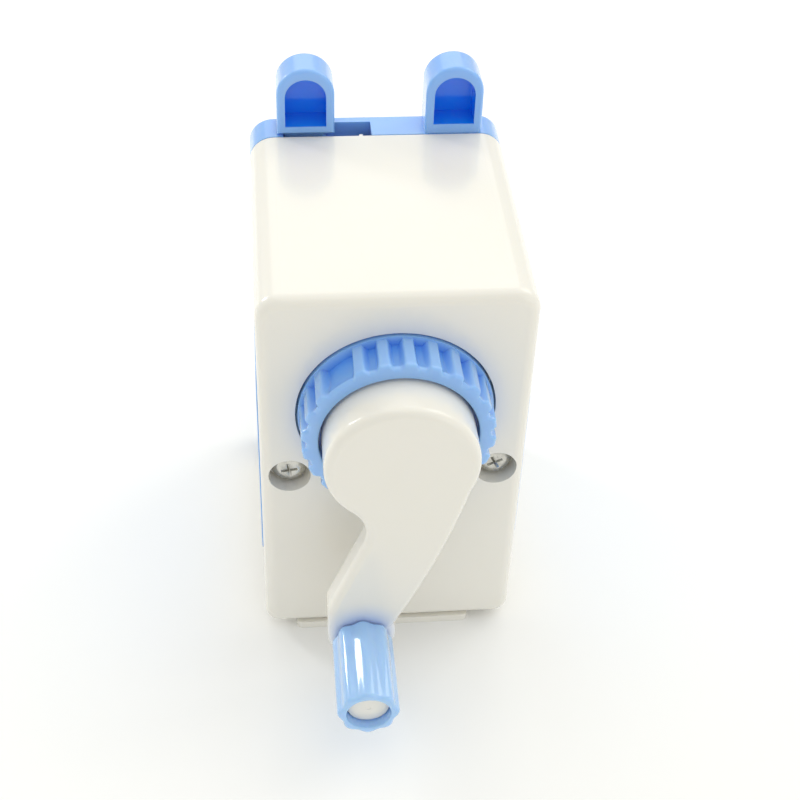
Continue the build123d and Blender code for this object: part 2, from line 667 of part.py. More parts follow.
def crank_arm():
    front = REAR_Y + CRANK_OUT
    back = HUB_FRONT + HUB_STEP
    arm = fillet(outer_edges(prism(crank_outline(), front - ARM_T, front), front), 1.9)
    arm += cyl(CRANK_R - 0.06, back, front - ARM_T + OVER)
    arm -= tube(CRANK_R - WALL, HUB_R + 1.2, back - OVER, front - ARM_T)
    arm += cyl(HUB_R, HUB_FRONT, back + OVER)
    arm -= cyl(PIN_R, back, front + OVER, ARM_END_X, ARM_END_Z)
    arm -= cutter_bar(AXLE_R + 0.02, AXLE_FROM, AXLE_TO)
    for x in (-CARRIER_SCREW_X, CARRIER_SCREW_X):
        arm -= cyl(CARRIER_SCREW_R + 0.02, HUB_FRONT - OVER, HUB_FRONT + 7.5, x, CARRIER_SCREW_Z)
    return arm


def knob():
    low = REAR_Y + CRANK_OUT + GAP
    high = low + KNOB_LENGTH
    outline = Circle(KNOB_R)
    for i in range(KNOB_FLUTES):
        angle = 360 / KNOB_FLUTES * (i + 0.5)
        outline -= Rot(0, 0, angle) * Pos(KNOB_R + FLUTE_R - FLUTE_DEPTH, 0) * Circle(FLUTE_R)
    body = prism(Pos(ARM_END_X, ARM_END_Z) * outline, low, high)
    body = fillet(outer_edges(body, high), 0.7)
    body -= cyl(PIN_R + 0.08, low - OVER, high + OVER, ARM_END_X, ARM_END_Z)
    return body - cyl(PIN_HEAD_R + 0.25, high - KNOB_RECESS, high + OVER, ARM_END_X, ARM_END_Z)


def knob_axle():
    high = REAR_Y + CRANK_OUT + GAP + KNOB_LENGTH
    head_low = high - KNOB_RECESS + GAP
    head = cyl(PIN_HEAD_R, head_low, high - PIN_SUNK, ARM_END_X, ARM_END_Z)
    head = fillet(head.edges().sort_by(Axis.Y)[-1], 0.4)
    return head + cyl(PIN_R, REAR_Y + CRANK_OUT - ARM_T, head_low + 0.1, ARM_END_X, ARM_END_Z)


def cutter_carrier():
    carrier = cyl(NOSE_R, NOSE_FRONT, CAGE_FRONT_Y[0])
    carrier += cyl(CAGE_R, *CAGE_FRONT_Y)
    carrier += cyl(CAGE_R - 0.5, *CAGE_BACK_Y)
    cheek_y = (CAGE_FRONT_Y[1] - 0.5, CAGE_BACK_Y[0] + 0.5)
    for side in (-1, 1):
        low, high = sorted((side * CHEEK_X[0], side * CHEEK_X[1]))
        cheek = box((low, cheek_y[0], AXIS_Z - 9), (high, cheek_y[1], AXIS_Z + 13))
        carrier += cheek & cyl(CAGE_R, *cheek_y)
    # the lower half of a round post, which leaves room for the pinion above it
    half_post = Circle(7.6) & Pos(0, -3.5 - 5) * Rectangle(20, 10)
    carrier += axial(half_post, CAGE_BACK_Y[1] - 0.5, HUB_FRONT)
    carrier -= cyl(NOSE_BORE_R, NOSE_FRONT - OVER, CAGE_FRONT_Y[1] + OVER)
    carrier -= cutter_bar(CUTTER_R + 0.8, CUTTER_FROM - OVER, 40)
    carrier -= cutter_bar(AXLE_R, 50, AXLE_TO)
    for x in (-CARRIER_SCREW_X, CARRIER_SCREW_X):
        carrier -= cyl(CARRIER_SCREW_R + 0.05, CAGE_BACK_Y[0] - OVER, HUB_FRONT + OVER, x, CARRIER_SCREW_Z)
    return carrier


def carrier_screws():
    driver = screw(1.9, 1.6, CARRIER_SCREW_R, 17.5)
    places = [Pos(x, CAGE_BACK_Y[0], CARRIER_SCREW_Z) for x in (-CARRIER_SCREW_X, CARRIER_SCREW_X)]
    return [place * Rot(90, 0, 0) * driver for place in places]


def save(name, shape):
    pieces = shape if isinstance(shape, list) else [shape]
    solids = [solid for piece in pieces for solid in piece.solids()]
    whole = solids[0] if len(solids) == 1 else Compound(solids)
    export_step(whole, f"parts/{name}.step")
    print(f"{name}: {len(solids)} solid(s), {sum(s.volume for s in solids):.0f} mm3")


def main():
    os.makedirs("parts", exist_ok=True)
    save("housing_shell", housing_shell())
    save("foot_plate", foot_plate())
    save("foot_screws", foot_screws())
    save("housing_screws", housing_screws())
    save("side_panel_left", side_panel(1))
    save("side_panel_right", side_panel(-1))
    save("inner_frame", inner_frame())
    save("screw_posts", screw_posts())
    save("shavings_drawer", shavings_drawer())
    save("front_plate", front_plate())
    save("chuck_cover", chuck_cover())
    save("chuck_screws", chuck_screws())
    save("guide_rod_left", guide_rod(1))
    save("guide_rod_right", guide_rod(-1))
    save("rod_clips", rod_clips())
    save("rod_spring_left", rod_spring(1))
    save("rod_spring_right", rod_spring(-1))
    save("grip_lever", grip_lever())
    save("grip_spring", grip_spring())
    for number, angle in enumerate(JAW_ANGLES, 1):
        save(f"jaw_{number}", jaw(angle))
    save("lock_ring", lock_ring())
    save("ring_gear", ring_gear())
    save("crank_arm", crank_arm())
    save("cutter_carrier", cutter_carrier())
    save("carrier_screws", carrier_screws())
    save("cutter_axle", cutter_axle())
    save("helical_cutter", helical_cutter())
    save("cutter_pinion", cutter_pinion())
    save("knob_axle", knob_axle())
    save("knob", knob())


main()
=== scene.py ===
import math

import bpy
from mathutils import Matrix, Vector


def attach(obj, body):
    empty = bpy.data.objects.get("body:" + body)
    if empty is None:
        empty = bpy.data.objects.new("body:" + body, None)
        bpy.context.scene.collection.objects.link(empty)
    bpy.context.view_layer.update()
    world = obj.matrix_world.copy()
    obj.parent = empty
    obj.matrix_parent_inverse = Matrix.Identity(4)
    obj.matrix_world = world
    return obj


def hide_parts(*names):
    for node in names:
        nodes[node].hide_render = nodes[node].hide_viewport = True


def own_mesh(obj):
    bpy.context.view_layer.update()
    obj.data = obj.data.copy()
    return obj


# Desk pencil sharpener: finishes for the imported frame, and finer versions of the pieces that show most.
# Lengths in the dictionaries are in millimetres, angles in degrees.

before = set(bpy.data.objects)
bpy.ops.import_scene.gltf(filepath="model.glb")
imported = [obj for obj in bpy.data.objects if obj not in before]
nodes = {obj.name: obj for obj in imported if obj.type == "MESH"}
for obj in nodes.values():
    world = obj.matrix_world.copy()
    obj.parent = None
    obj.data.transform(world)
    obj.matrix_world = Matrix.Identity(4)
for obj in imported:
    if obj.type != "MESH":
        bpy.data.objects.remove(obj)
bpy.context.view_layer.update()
mm = 0.001

layout = {"axisHeight": 68.0, "plateRear": -25.55, "plateFront": -33.65}
axisPoint = Vector((0, 0, layout["axisHeight"] * mm))


class Wire:
    # a socket that Python's operators add Math nodes to
    def __init__(self, paint, socket):
        self.paint = paint
        self.socket = socket

    def combine(self, operation, first, second):
        return self.paint.add("ShaderNodeMath", {"operation": operation}, {0: first, 1: second})

    def __add__(self, other):
        return self.combine("ADD", self, other)

    def __radd__(self, other):
        return self.combine("ADD", other, self)

    def __sub__(self, other):
        return self.combine("SUBTRACT", self, other)

    def __rsub__(self, other):
        return self.combine("SUBTRACT", other, self)

    def __mul__(self, other):
        return self.combine("MULTIPLY", self, other)

    def __rmul__(self, other):
        return self.combine("MULTIPLY", other, self)

    def __lt__(self, other):
        return self.combine("LESS_THAN", self, other)

    def __gt__(self, other):
        return self.combine("GREATER_THAN", self, other)


class Paint:
    def __init__(self, name):
        self.material = bpy.data.materials.new(name)
        self.material.use_nodes = True
        self.tree = self.material.node_tree
        self.tree.nodes.clear()
        self.place = self.add("ShaderNodeTexCoord", output="Object")

    def add(self, kind, settings=None, values=None, output=0):
        node = self.tree.nodes.new(kind)
        for name, value in (settings or {}).items():
            if name == "stops":
                for stop, (position, colour) in zip(node.color_ramp.elements, value):
                    stop.position = position
                    stop.color = colour
            else:
                setattr(node, name, value)
        for name, value in (values or {}).items():
            if isinstance(value, Wire):
                self.tree.links.new(value.socket, node.inputs[name])
            else:
                node.inputs[name].default_value = value
        return Wire(self, node.outputs[output]) if len(node.outputs) else None

    def noise(self, scale, detail=2.0, stretch=(1, 1, 1)):
        place = self.add("ShaderNodeMapping", {}, {"Vector": self.place, "Scale": stretch})
        return self.add("ShaderNodeTexNoise", {}, {"Vector": place, "Scale": scale, "Detail": detail})

    def blend(self, share, first, second):
        return self.add("ShaderNodeMix", {"data_type": "RGBA"}, {0: share, 6: first, 7: second}, output=2)

    def contrast(self, value, low, high):
        # 0 below low, 1 above high
        stops = [(low, (0, 0, 0, 1)), (high, (1, 1, 1, 1))]
        return self.add("ShaderNodeValToRGB", {"stops": stops}, {0: value})

    def bump(self, height, depth):
        return self.add("ShaderNodeBump", {}, {"Height": height, "Distance": depth * mm, "Strength": 1.0})

    def axes(self):
        # the place on the piece, as three numbers
        return [self.add("ShaderNodeSeparateXYZ", {}, {0: self.place}, output=i) for i in range(3)]

    def root(self, value):
        return self.add("ShaderNodeMath", {"operation": "SQRT"}, {0: value})

    def finish(self, values):
        surface = self.add("ShaderNodeBsdfPrincipled", {}, values)
        self.add("ShaderNodeOutputMaterial", {}, {"Surface": surface})
        return self.material


def rgba(colour):
    return (*colour, 1.0)


def plastic(name, look, deeper=None):
    # moulded plastic: slow colour drift, a faint orange-peel skin, and hairline rub marks in the gloss
    paint = Paint(name)
    drift = paint.contrast(paint.noise(look["driftScale"], 3.0), 0.35, 0.65)
    colour = paint.blend(drift, rgba(look["colour"]), rgba(look["drift"]))
    # an optional mask paints light or shade in a second colour: blue reflected light on white, a deeper blue
    # for shade in hollows and grooves
    if deeper:
        colour = paint.blend(deeper(paint), colour, rgba(look["deep"]))
    rub = paint.contrast(paint.noise(look["rubScale"], 4.0, look["rubAlong"]), 0.56, 0.72)
    peel = paint.noise(look["peelScale"], 1.0)
    return paint.finish({
        "Base Color": colour,
        "Roughness": look["rough"] + look["rubRough"] * rub,
        "Normal": paint.bump(peel, look["peelDepth"]),
        "IOR": look["ior"],
        "Coat Weight": look["coat"],
        "Coat Roughness": look["coatRough"],
        "Subsurface Weight": look["glow"],
        "Subsurface Radius": look["glowRadius"],
        "Subsurface Scale": look["glowDepth"] * mm,
        "Transmission Weight": look["clear"],
    })


whiteLook = {
    "colour": (0.86, 0.84, 0.77), "drift": (0.875, 0.85, 0.785), "driftScale": 38.0,
    # the second colour here is a painted blue reflection from the ring and the knob
    "deep": (0.30, 0.50, 0.95),
    "rough": 0.2, "rubRough": 0.06, "rubScale": 160.0, "rubAlong": (1.0, 0.35, 1.6),
    "peelScale": 1500.0, "peelDepth": 0.006, "ior": 1.52, "coat": 0.35, "coatRough": 0.08,
    "glow": 0.12, "glowRadius": (1.0, 0.9, 0.7), "glowDepth": 1.2, "clear": 0.0,
}
blueLook = {
    "colour": (0.225, 0.465, 0.95), "drift": (0.26, 0.50, 0.96), "driftScale": 60.0,
    # the second colour here is painted shade for the ear hollows and the ring's grooves
    "deep": (0.0, 0.27, 0.97),
    "rough": 0.2, "rubRough": 0.07, "rubScale": 240.0, "rubAlong": (1.0, 0.4, 1.4),
    "peelScale": 1600.0, "peelDepth": 0.01, "ior": 1.52, "coat": 0.75, "coatRough": 0.06,
    "glow": 0.3, "glowRadius": (0.5, 0.9, 1.6), "glowDepth": 2.2, "clear": 0.0,
}
# painted light: paler copies of the blue for the knob and the lock ring, for the extra light that falls on
# them
knobLitLook = {
    **blueLook, "colour": (0.33, 0.57, 0.96), "drift": (0.37, 0.60, 0.965), "rough": 0.14, "coat": 0.9,
}
ringLitLook = {**blueLook, "colour": (0.265, 0.505, 0.955), "drift": (0.30, 0.535, 0.96)}
panelLook = {
    **blueLook, "colour": (0.17, 0.40, 0.88), "drift": (0.20, 0.43, 0.90), "rough": 0.12, "coat": 0.6,
    "rubRough": 0.09, "glow": 0.15,
}
drawerLook = {
    **blueLook, "colour": (0.30, 0.55, 0.95), "drift": (0.35, 0.60, 0.96), "rough": 0.1, "glow": 0.0,
    "clear": 0.55, "peelDepth": 0.006,
}
nylonLook = {
    "colour": (0.40, 0.41, 0.42), "drift": (0.45, 0.455, 0.46), "driftScale": 90.0,
    "rough": 0.42, "rubRough": 0.15, "rubScale": 300.0, "rubAlong": (1.0, 1.0, 1.0),
    "peelScale": 900.0, "peelDepth": 0.03, "ior": 1.53, "coat": 0.0, "coatRough": 0.2,
    "glow": 0.05, "glowRadius": (1.0, 1.0, 1.0), "glowDepth": 0.8, "clear": 0.0,
}
earHollow = {
    "reach": 4.75, "floor": 99.9, "archZ": 107.25, "movingX": 15.9, "fixedX": -17.1,
    "behindRim": 0.25, "frontWall": 0.5,
}


def hollowShadeOf(earX):
    # painted shade: a deeper blue over the inside of an ear, in the piece's own coordinates
    def mask(paint):
        x, y, z = paint.axes()
        rise = (z - earHollow["archZ"] * mm) * (z > earHollow["archZ"] * mm)
        side = x - earX * mm
        across = side * side + rise * rise < (earHollow["reach"] * mm) ** 2
        above = z > earHollow["floor"] * mm
        inside = y < (layout["plateRear"] - earHollow["behindRim"]) * mm
        outside = y > (layout["plateFront"] + earHollow["frontWall"]) * mm
        return across * above * inside * outside
    return mask


def glowAround(spot):
    # blue light that the piece beside it throws into the white plastic, fading outwards from its axis
    def mask(paint):
        x, y, z = paint.axes()
        across = x - spot["x"] * mm
        rise = z - spot["z"] * mm
        distance = paint.root(across * across + rise * rise)
        inner, outer = [spot[key] / glowScale for key in ("inner", "outer")]
        fade = 1 - paint.contrast(distance * (1 / (glowScale * mm)), inner, outer)
        return fade * fade * (y > spot["behind"] * mm) * spot["share"]
    return mask


def grooveShade(paint):
    # painted shade: a deeper blue in the ring's grooves, most of all by the wall
    x, y, z = paint.axes()
    rise = z - layout["axisHeight"] * mm
    distance = paint.root(x * x + rise * rise)
    inner, outer = [grooveShadeZone[key] / glowScale for key in ("inner", "outer")]
    sunk = 1 - paint.contrast(distance * (1 / (glowScale * mm)), inner, outer)
    ahead = y < grooveShadeZone["rear"] * mm
    depth = (grooveShadeZone["rear"] * mm - y) * (1 / (grooveShadeZone["fade"] * mm)) * ahead
    return sunk * depth * (distance > grooveShadeZone["bore"] * mm) * grooveShadeZone["share"]


glowScale = 50.0  # millimetres that a ramp's 0 to 1 stands for
grooveShadeZone = {"inner": 18.2, "outer": 19.9, "bore": 17.5, "rear": 42.2, "fade": 8.0, "share": 0.6}
ringGlow = {"x": 0.0, "z": 68.0, "inner": 19.5, "outer": 25.5, "behind": 33.0, "share": 0.28}
knobGlow = {"x": 7.5, "z": 19.0, "inner": 5.0, "outer": 11.0, "behind": 50.0, "share": 0.55}


def metal(name, look):
    # fine drawn or turned lines, uneven polish and a thin cloudy film
    paint = Paint(name)
    lines = paint.noise(look["lineScale"], 2.0, look["lineAlong"])
    film = paint.contrast(paint.noise(look["filmScale"], 3.0), 0.4, 0.7)
    return paint.finish({
        "Base Color": paint.blend(film, rgba(look["colour"]), rgba(look["film"])),
        "Metallic": 1.0,
        "Roughness": look["rough"] + look["filmRough"] * film + look["lineRough"] * lines,
        "Normal": paint.bump(lines, look["lineDepth"]),
    })


screwLook = {
    "colour": (0.62, 0.61, 0.57), "film": (0.46, 0.46, 0.43), "filmScale": 500.0, "filmRough": 0.12,
    "rough": 0.16, "lineScale": 900.0, "lineAlong": (1.0, 1.0, 1.0), "lineRough": 0.12, "lineDepth": 0.01,
}
brightLook = {
    **screwLook, "colour": (0.74, 0.74, 0.74), "film": (0.64, 0.64, 0.65), "rough": 0.12,
    "lineAlong": (1.0, 0.05, 1.0), "lineDepth": 0.004,
}
cutterLook = {
    **screwLook, "colour": (0.42, 0.42, 0.43), "film": (0.30, 0.30, 0.32), "rough": 0.22,
    "lineAlong": (0.2, 1.0, 1.0),
}
springLook = {
    **screwLook, "colour": (0.50, 0.50, 0.52), "film": (0.38, 0.38, 0.40), "rough": 0.2,
}
brassLook = {
    **screwLook, "colour": (0.78, 0.58, 0.27), "film": (0.62, 0.43, 0.18), "rough": 0.2,
}

print("finishes")
finishes = {
    "white_abs": plastic("WhiteAbs", whiteLook),
    "blue_plastic": plastic("BluePlastic", blueLook),
    "blue_panel": plastic("BluePanel", panelLook),
    "clear_blue": plastic("ClearBlue", drawerLook),
    "grey_nylon": plastic("GreyNylon", nylonLook),
    "screw_steel": metal("ScrewSteel", screwLook),
    "bright_steel": metal("BrightSteel", brightLook),
    "cutter_steel": metal("CutterSteel", cutterLook),
    "spring_steel": metal("SpringSteel", springLook),
    "brass": metal("Brass", brassLook),
}
# painted reflected light: blue from the ring on the wall and from the knob on the crank
wallWhite = plastic("WallWhite", whiteLook, glowAround(ringGlow))
crankWhite = plastic("CrankWhite", whiteLook, glowAround(knobGlow))
knobLitBlue = plastic("KnobLitBlue", knobLitLook)
ringLitShadedBlue = plastic("RingLitShadedBlue", ringLitLook, grooveShade)
movingEarShadedBlue = plastic("MovingEarShadedBlue", blueLook, hollowShadeOf(earHollow["movingX"]))
fixedEarShadedBlue = plastic("FixedEarShadedBlue", blueLook, hollowShadeOf(earHollow["fixedX"]))

cadFinish = {
    "white_abs": ["foot_plate"],
    "blue_panel": ["side_panel_left", "side_panel_right"],
    "clear_blue": ["shavings_drawer"],
    "grey_nylon": ["inner_frame", "screw_posts", "chuck_cover", "ring_gear", "cutter_carrier"],
    "bright_steel": ["guide_rod_left", "guide_rod_right", "jaw_1", "jaw_2", "jaw_3", "cutter_axle"],
    "spring_steel": ["rod_clips"],
    "cutter_steel": ["helical_cutter"],
    "brass": ["cutter_pinion"],
    "screw_steel": ["chuck_screws", "carrier_screws", "foot_screws"],
}


def dress(piece, material):
    piece.data.materials.clear()
    piece.data.materials.append(material)


for finishName, members in cadFinish.items():
    for member in members:
        if member in nodes:
            dress(nodes[member], finishes[finishName])
dress(nodes["housing_shell"], wallWhite)
dress(nodes["crank_arm"], crankWhite)
dress(nodes["front_plate"], fixedEarShadedBlue)
dress(nodes["grip_lever"], movingEarShadedBlue)


def deselect():
    if bpy.context.object and bpy.context.object.mode != "OBJECT":
        bpy.ops.object.mode_set(mode="OBJECT")
    bpy.ops.object.select_all(action="DESELECT")


def edit(piece, kind):
    deselect()
    bpy.context.view_layer.objects.active = piece
    piece.select_set(True)
    bpy.ops.object.mode_set(mode="EDIT")
    bpy.ops.mesh.select_mode(type=kind)
    bpy.ops.mesh.select_all(action="DESELECT")


def choose(piece, kind, test):
    # selects the vertices, edges or faces whose place passes the test, and stays in edit mode
    edit(piece, kind)
    bpy.ops.object.mode_set(mode="OBJECT")
    if kind == "VERT":
        for vertex in piece.data.vertices:
            vertex.select = test(vertex.co)
    elif kind == "FACE":
        for face in piece.data.polygons:
            face.select = test(face.center, face.normal)
    else:
        for rim in piece.data.edges:
            ends = [piece.data.vertices[i].co for i in rim.vertices]
            rim.select = test(ends[0], ends[1])
    bpy.ops.object.mode_set(mode="EDIT")


def tidyMesh(piece, gap=0.001):
    edit(piece, "VERT")
    bpy.ops.mesh.select_all(action="SELECT")
    bpy.ops.mesh.remove_doubles(threshold=gap * mm)
    bpy.ops.mesh.normals_make_consistent(inside=False)
    bpy.ops.object.mode_set(mode="OBJECT")


def applyModifier(piece, kind, **settings):
    deselect()
    bpy.context.view_layer.objects.active = piece
    piece.select_set(True)
    modifier = piece.modifiers.new(kind.title(), kind)
    for name, value in settings.items():
        setattr(modifier, name, value)
    bpy.ops.object.modifier_apply(modifier=modifier.name)


def soften(piece, width, segments=3, angle=35):
    applyModifier(piece, "BEVEL", width=width * mm, segments=segments, limit_method="ANGLE",
                  angle_limit=math.radians(angle), harden_normals=False)


def smooth(piece, angle=40):
    deselect()
    bpy.context.view_layer.objects.active = piece
    piece.select_set(True)
    bpy.ops.object.shade_smooth_by_angle(angle=math.radians(angle))


def settle(piece):
    # puts the place into the mesh, so that the object sits at the origin
    deselect()
    bpy.context.view_layer.objects.active = piece
    piece.select_set(True)
    bpy.ops.object.transform_apply(location=True, rotation=True, scale=True)


def join(name, pieces):
    deselect()
    for piece in pieces:
        piece.select_set(True)
    bpy.context.view_layer.objects.active = pieces[0]
    if len(pieces) > 1:
        bpy.ops.object.join()
    pieces[0].name = name
    pieces[0].data.name = name
    return pieces[0]


def cut(piece, tool):
    applyModifier(piece, "BOOLEAN", operation="DIFFERENCE", solver="EXACT", object=tool)
    bpy.data.objects.remove(tool)


def put(piece, body, finish, *replaced):
    dress(piece, finishes[finish])
    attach(piece, body)
    if replaced:
        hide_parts(*replaced)
    return piece


def turned(name, profile, centre, steps):
    # a profile of (radius, y) points turned once about the line along Y through centre
    deselect()
    bpy.ops.mesh.primitive_plane_add(size=mm)
    piece = bpy.context.object
    piece.name = name
    edit(piece, "VERT")
    bpy.ops.mesh.select_all(action="SELECT")
    bpy.ops.mesh.delete(type="VERT")
    bpy.ops.object.mode_set(mode="OBJECT")
    points = [(centre.x + r * mm, y * mm, centre.z) for r, y in profile]
    rims = [(i, i + 1) for i in range(len(points) - 1)]
    if profile[0][0] > 0 and profile[-1][0] > 0:
        rims.append((len(points) - 1, 0))
    piece.data.from_pydata(points, rims, [])
    edit(piece, "VERT")
    bpy.ops.mesh.select_all(action="SELECT")
    bpy.ops.mesh.spin(steps=steps, angle=2 * math.pi, center=centre, axis=(0, 1, 0))
    bpy.ops.object.mode_set(mode="OBJECT")
    tidyMesh(piece)
    return piece


def arcPoints(centreR, centreY, radius, start, end, count):
    # points (radius, y) along an arc, angles from the radial direction towards +Y
    spread = [math.radians(start + (end - start) * i / (count - 1)) for i in range(count)]
    return [(centreR + radius * math.cos(a), centreY + radius * math.sin(a)) for a in spread]


ring = {
    "front": 24.0, "gearRear": 28.5, "hubR": 18.6, "lugFront": 25.6, "lugRear": 28.0, "flangeFront": 30.9,
    "flangeRear": 34.15, "flangeR": 20.4, "gripR": 20.05, "rear": 42.61, "edge": 0.85, "boreR": 16.5,
    "boreFloor": 37.4, "lip": 0.35,
    "bearingR": 10.5, "gearR": 13.0, "lugs": (30.0, 150.0, 270.0), "lugSpread": 16.0, "steps": 576,
    "ribs": 24, "firstRib": 5.0, "ribMissing": 3, "ribFlat": 2.5, "ribFoot": 5.625,
    "grooveDepth": 1.85, "rimDepth": 0.95, "grooveBend": 37.5, "grooveLines": 7,
}


def angleAt(point):
    return math.degrees(math.atan2(point.z - axisPoint.z, point.x)) % 360


def radiusAt(point, centre=axisPoint):
    return math.hypot(point.x - centre.x, point.z - centre.z) / mm


def apart(angle, other):
    return abs((angle - other + 180) % 360 - 180)


def swell(scale, centre=axisPoint):
    # scales the selection in X and Z about a line along Y
    bpy.ops.transform.resize(value=(scale, 1, scale), center_override=centre)


def makeLockRing():
    r = ring
    grooveEnd = r["rear"] - r["edge"]
    spacing = (grooveEnd - r["grooveBend"]) / r["grooveLines"]
    grooveY = [r["flangeRear"]] + [r["grooveBend"] + spacing * i for i in range(r["grooveLines"])]
    profile = [
        (r["bearingR"], r["gearRear"]), (r["gearR"], r["gearRear"]), (r["gearR"], r["front"]),
        (r["hubR"], r["front"]), (r["hubR"], r["lugFront"]), (r["hubR"], r["lugRear"]),
        (r["hubR"], r["flangeFront"]), (r["flangeR"], r["flangeFront"]), (r["flangeR"], r["flangeRear"]),
    ]
    rim = arcPoints(r["gripR"] - r["edge"], grooveEnd, r["edge"], 0, 90, 7)
    profile += [(r["gripR"], y) for y in grooveY] + rim
    profile += arcPoints(r["boreR"] + r["lip"], r["rear"] - r["lip"], r["lip"], 90, 180, 4)
    profile += [(r["boreR"], r["boreFloor"]), (r["bearingR"], r["boreFloor"])]
    piece = turned("lockRing", profile, axisPoint, r["steps"])

    # finger grooves between the ribs, which run out at the ring's rear edge; one rib is left out as a mark
    ribAngles = [r["firstRib"] + 360 / r["ribs"] * i for i in range(r["ribs"]) if i != r["ribMissing"]]
    step = 360 / r["steps"]

    def fromRib(point):
        return min(apart(angleAt(point), angle) for angle in ribAngles)

    for radius, y in [(r["gripR"], y) for y in grooveY] + rim:
        bend = min(1, max(0, y - r["grooveBend"]) / (grooveEnd - r["grooveBend"]))
        depth = r["grooveDepth"] - (r["grooveDepth"] - r["rimDepth"]) * bend * bend
        turn = r["ribFlat"] + step
        while turn < r["ribFoot"] + step:
            share = min(1, (turn - r["ribFlat"]) / (r["ribFoot"] - r["ribFlat"]))
            last = turn > r["ribFoot"] - step / 2
            choose(piece, "VERT", lambda p: abs(p.y - y * mm) < 1e-6 and abs(radiusAt(p) - radius) < 0.01
                   and (fromRib(p) > turn - step / 2 if last else abs(fromRib(p) - turn) < step / 2))
            swell(1 - depth * share * share * (3 - 2 * share) / radius)
            turn += step

    # bayonet lugs on the hub, which hook behind the housing's collar
    def onLug(centre, normal):
        between = r["lugFront"] * mm < centre.y < r["lugRear"] * mm
        outward = abs(radiusAt(centre) - r["hubR"]) < 0.05
        return between and outward and any(apart(angleAt(centre), a) < r["lugSpread"] for a in r["lugs"])

    choose(piece, "FACE", onLug)
    bpy.ops.mesh.extrude_region()
    swell(r["flangeR"] / r["hubR"])
    tidyMesh(piece)
    smooth(piece, 50)
    put(piece, "lock", "blue_plastic", "lock_ring")
    dress(piece, ringLitShadedBlue)
    return piece


print("lock ring")
makeLockRing()


knob = {
    "x": 7.5, "z": 17.2, "front": 52.05, "rear": 72.45, "radius": 6.65,
    "flutes": 8, "perFlute": 12, "fluteDepth": 0.62,
    "boreR": 2.58, "recessR": 4.7, "recessDepth": 3.4, "rounding": 0.9, "lip": 0.3,
}
knobPin = {
    "radius": 2.5, "front": 46.45, "headR": 4.5, "headFloor": 69.3, "headTop": 70.75, "dome": 0.2,
    "edge": 0.45, "chamfer": 0.3,
}
knobCentre = Vector((knob["x"] * mm, 0, knob["z"] * mm))


def makeKnob():
    k = knob
    floor = k["rear"] - k["recessDepth"]
    outer = k["radius"] - k["rounding"]
    profile = [(k["boreR"], k["front"])]
    profile += arcPoints(outer, k["front"] + k["rounding"], k["rounding"], -90, 0, 7)
    profile += arcPoints(outer, k["rear"] - k["rounding"], k["rounding"], 0, 90, 7)
    profile += arcPoints(k["recessR"] + k["lip"], k["rear"] - k["lip"], k["lip"], 90, 180, 4)
    profile += [(k["recessR"], floor), (k["boreR"], floor)]
    piece = turned("knobGrip", profile, knobCentre, k["flutes"] * k["perFlute"])
    # shallow flutes: each line of vertices across a flute moves in by its own share
    pitch = 360 / k["flutes"]

    def acrossFlute(point):
        turn = math.degrees(math.atan2(point.z - knobCentre.z, point.x - knobCentre.x)) % pitch
        return abs(turn / pitch - 0.5) * 2

    for line in range(k["perFlute"] // 2):
        share = line / (k["perFlute"] / 2)
        choose(piece, "VERT", lambda p, s=share: abs(acrossFlute(p) - s) < 0.02
               and radiusAt(p, knobCentre) > k["recessR"] + 0.5)
        sunk = k["fluteDepth"] * (0.5 + 0.5 * math.cos(math.pi * share))
        swell((k["radius"] - sunk) / k["radius"], knobCentre)
    bpy.ops.object.mode_set(mode="OBJECT")
    smooth(piece, 45)
    put(piece, "knob_grip", "blue_plastic", "knob")
    dress(piece, knobLitBlue)
    return piece


def makeKnobPin():
    p = knobPin
    profile = [
        (0, p["front"]), (p["radius"] - p["chamfer"], p["front"]), (p["radius"], p["front"] + p["chamfer"]),
        (p["radius"], p["headFloor"]), (p["headR"] - 0.1, p["headFloor"]), (p["headR"], p["headFloor"] + 0.1),
    ]
    profile += arcPoints(p["headR"] - p["edge"], p["headTop"] - p["edge"] - p["dome"], p["edge"], 0, 70, 5)
    # a slightly domed top, sunk a little at the moulding gate in its middle
    for share in (0.75, 0.55, 0.35, 0.2):
        profile.append((p["headR"] * share, p["headTop"] - p["dome"] * share ** 2))
    profile += [(0.6, p["headTop"]), (0.5, p["headTop"] - 0.12), (0, p["headTop"] - 0.14)]
    piece = turned("knobPinCap", profile, knobCentre, 96)
    smooth(piece, 40)
    return put(piece, "crank", "white_abs", "knob_axle")


print("knob")
makeKnob()
makeKnobPin()


bigScrew = {
    "x": 22.3, "z": 50.4, "seat": 29.55, "headR": 3.85, "headH": 2.4, "shankR": 1.5, "length": 10.5,
    "recess": 2.5, "recessDepth": 1.55, "wing": 0.95, "wingTip": 0.42, "turns": {-1: 25.0, 1: 8.0},
    "threads": 9, "threadDepth": 0.26, "plainEnds": 2.4, "tip": 0.7, "rim": 0.75,
}


def crossTool(look, centre, top, turn):
    # a cruciform driver tip: two tapered wings
    wings = []
    for extra in (0, 90):
        deselect()
        bpy.ops.mesh.primitive_cube_add(size=1, location=centre)
        wing = bpy.context.object
        wing.scale = (2 * look["recess"] * mm, 2 * look["recessDepth"] * mm, look["wing"] * mm)
        wing.location.y = top
        wing.rotation_euler = (0, math.radians(turn + extra), 0)
        settle(wing)
        choose(wing, "FACE", lambda c, n: n.y < -0.9)
        tip = look["wingTip"]
        bpy.ops.transform.resize(value=(tip, 1, tip), center_override=(centre.x, top, centre.z))
        bpy.ops.object.mode_set(mode="OBJECT")
        wings.append(wing)
    applyModifier(wings[0], "BOOLEAN", operation="UNION", solver="EXACT", object=wings[1])
    bpy.data.objects.remove(wings[1])
    return wings[0]


